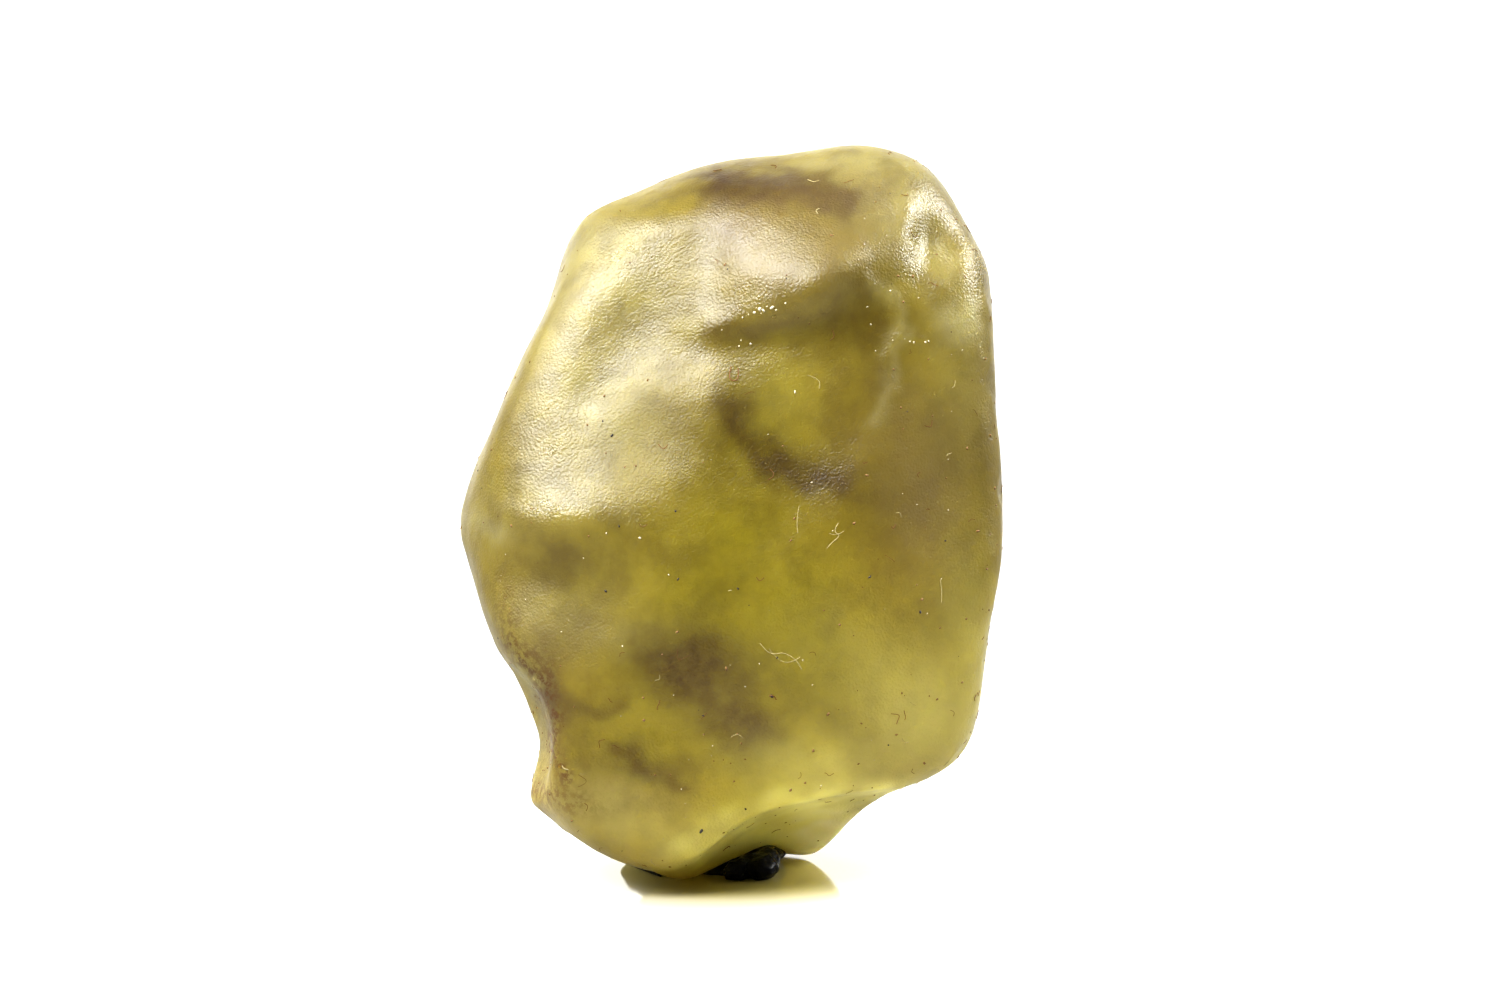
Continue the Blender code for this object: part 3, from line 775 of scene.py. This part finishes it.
# The lint: fine bent threads of cloth and plant, a few tenths of a millimetre to 2 mm long, that
# cling to the frosted skin. Each of these runs through places as seen, right and up, and has a
# half thickness. The others fall by chance.
LINT = (
    (((1.35, 10.35), (1.60, 10.00), (1.95, 9.85), (2.35, 9.95), (2.75, 9.75), (3.05, 9.45), (3.15, 9.20)),
     0.013),
    (((1.75, 10.10), (2.10, 9.60), (2.70, 9.45), (3.10, 9.75)), 0.010),
    (((4.75, 15.55), (4.50, 15.20), (4.85, 15.00), (4.45, 14.70), (4.25, 14.45)), 0.013),
    (((4.35, 15.10), (4.65, 14.95), (5.00, 15.20)), 0.010),
    (((3.05, 16.30), (2.90, 15.60), (3.00, 15.10)), 0.010),
    (((9.15, 13.10), (9.25, 12.60), (9.20, 12.10)), 0.011),
    (((3.40, 21.95), (3.75, 21.85), (4.00, 21.60), (3.90, 21.35)), 0.010),
)
BROWN_LINT = (
    (((0.10, 22.30), (0.00, 21.95), (0.10, 21.70), (0.35, 21.70), (0.45, 22.00), (0.40, 22.25)), 0.022),
    (((1.75, 8.05), (1.95, 8.15), (2.05, 7.90)), 0.022),
)
PALE_THREADS_BY_CHANCE = 40
BROWN_THREADS_BY_CHANCE = 180
PALE_FIBRE = (0.46, 0.39, 0.19, 1)
BROWN_FIBRE = (0.17, 0.07, 0.012, 1)


def threads_through(tree, lint):
    """The places of bent threads that were seen on the broad face."""
    for path, half_width in lint:
        spots = [seen_spot(tree, right, up) for right, up in path]
        yield [place + normal * half_width for place, normal in filter(None, spots)], half_width


def chance_threads(spots, seed):
    """Short curled threads that lie where chance drops them."""
    random = np.random.default_rng(seed)
    for place, normal in spots:
        along = np.cross(normal, random.normal(size=3))
        along /= np.linalg.norm(along)
        across = np.cross(normal, along)
        half_width = random.uniform(0.008, 0.016)
        length, curl = random.uniform(0.15, 0.55), random.uniform(-5, 5)
        steps = np.linspace(-0.5, 0.5, 5) * length
        kinks = random.normal(size=5) * 0.03
        yield [place + along * step + across * (curl * step**2 + kink) + normal * half_width
               for step, kink in zip(steps, kinks)], half_width


def lay_threads(name, threads, colour):
    """Lays one kind of thread: thin round tubes with closed ends."""
    curve = bpy.data.curves.new(name, "CURVE")
    curve.dimensions = "3D"
    curve.bevel_depth = 1.0 * MM
    curve.bevel_resolution = 1
    curve.use_fill_caps = True
    for spots, half_width in threads:
        spline = curve.splines.new("NURBS")
        spline.points.add(len(spots) - 1)
        spline.order_u = 3
        spline.use_endpoint_u = True
        spline.resolution_u = 4
        for point, spot in zip(spline.points, spots):
            point.co = (*(spot * MM), 1)
            point.radius = half_width
    maker = link(name + "_maker", curve)
    mesh = bpy.data.meshes.new_from_object(maker.evaluated_get(bpy.context.evaluated_depsgraph_get()))
    bpy.data.objects.remove(maker)
    mesh.materials.clear()
    mesh.materials.append(dust_material(name, colour, 0.7))
    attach(link(name, mesh), "root")


pale_threads = list(threads_through(tree, LINT))
spots = chance_spots(points, normals, dusty, PALE_THREADS_BY_CHANCE, seed=38)
pale_threads += chance_threads(spots, seed=39)
lay_threads("pale_lint", pale_threads, PALE_FIBRE)

brown_threads = list(threads_through(tree, BROWN_LINT))
spots = chance_spots(points, normals, dusty, BROWN_THREADS_BY_CHANCE, seed=40)
brown_threads += chance_threads(spots, seed=41)
lay_threads("brown_lint", brown_threads, BROWN_FIBRE)

# The table: a pale, glossy sheet that runs out of view on all sides. Under the stone its colour
# has a painted shadow, tinted olive like light that comes through the glass, and round it a painted
# pool of light, paler than the table further off.
# It lies a hair below the stone's foot. Its sizes are in metres.
TABLE_SIZE = 6.0
TABLE_BELOW = 0.00002
PAINTED_SHADOW_REACH = (0.004, 0.010)
PAINTED_POOL_REACH = (0.008, 0.045)
PAINTED_SHADOW_TINT = (0.29, 0.25, 0.085, 1)
PAINTED_POOL_OF_LIGHT = (0.38, 0.375, 0.35, 1)
FAR_TABLE = (0.18, 0.18, 0.18, 1)

table_mesh = bpy.data.meshes.new("white_table")
shape = bmesh.new()
bmesh.ops.create_grid(shape, x_segments=1, y_segments=1, size=TABLE_SIZE / 2)
shape.to_mesh(table_mesh)
shape.free()
table = link("white_table", table_mesh)
table.location.z = -TABLE_BELOW
sheet = Finish("white_sheet")
distance = sheet.add("ShaderNodeVectorMath", operation="LENGTH")
sheet.put(distance.inputs[0], sheet.object_place)
# A painted pool of light round the stone, and a painted olive shadow under it
painted_pool = sheet.ramp(distance.outputs["Value"], *PAINTED_POOL_REACH, 1.0, 0.0)
painted_shadow = sheet.ramp(distance.outputs["Value"], *PAINTED_SHADOW_REACH, 1.0, 0.0)
painted_pool_and_shadow = sheet.mix(painted_shadow, PAINTED_POOL_OF_LIGHT, PAINTED_SHADOW_TINT)
sheet.set("Base Color", sheet.mix(painted_pool, FAR_TABLE, painted_pool_and_shadow))
sheet.set("Roughness", 0.09)
table_mesh.materials.append(sheet.material)

# The lights: four wide soft lamps round the stone, a dim room, and a bright backdrop straight
# behind the stone. For each lamp: how far it is turned to the right from the camera's side, its
# height above the table and how wide it looks from the stone, all in degrees, and how bright it is.
LAMPS = {
    "left": (-60, 45, 38, 28.0),
    "side": (-104, 34, 44, 6.0),
    "overhead": (-12, 63, 32, 21.0),
    "right": (106, 34, 30, 34.0),
}
FRONT_OF_ROOM = 0.15
BACKDROP = 2.4
BACKDROP_EDGE = (0.72, 0.94)

for name, (turn, rise, width, brightness) in LAMPS.items():
    turn, rise, width = map(math.radians, (turn, rise, width))
    lamp_data = bpy.data.lights.new(name, "SUN")
    lamp_data.angle = width
    lamp_data.energy = brightness * 2 * math.pi * (1 - math.cos(width / 2))
    lamp = bpy.data.objects.new(name, lamp_data)
    level = math.cos(rise)
    to_lamp = Vector((math.sin(turn) * level, -math.cos(turn) * level, math.sin(rise)))
    lamp.rotation_euler = (-to_lamp).to_track_quat("-Z", "Y").to_euler()
    bpy.context.scene.collection.objects.link(lamp)

world = bpy.data.worlds.new("pale_room")
world.use_nodes = True
room = world.node_tree
direction = room.nodes.new("ShaderNodeTexCoord")
straight_behind = room.nodes.new("ShaderNodeVectorMath")
straight_behind.operation = "DOT_PRODUCT"
straight_behind.inputs[1].default_value = (0, 1, 0)
glow = room.nodes.new("ShaderNodeMapRange")
glow.interpolation_type = "SMOOTHSTEP"
room.links.new(direction.outputs["Generated"], straight_behind.inputs[0])
room.links.new(straight_behind.outputs["Value"], glow.inputs["Value"])
glow.inputs["From Min"].default_value, glow.inputs["From Max"].default_value = BACKDROP_EDGE
glow.inputs["To Min"].default_value = FRONT_OF_ROOM
glow.inputs["To Max"].default_value = BACKDROP
room.links.new(glow.outputs["Result"], room.nodes["Background"].inputs["Strength"])
room.nodes["Background"].inputs["Color"].default_value = (1, 1, 1, 1)
bpy.context.scene.world = world
bpy.context.scene.view_settings.view_transform = "Standard"
bpy.context.scene.view_settings.gamma = 0.85
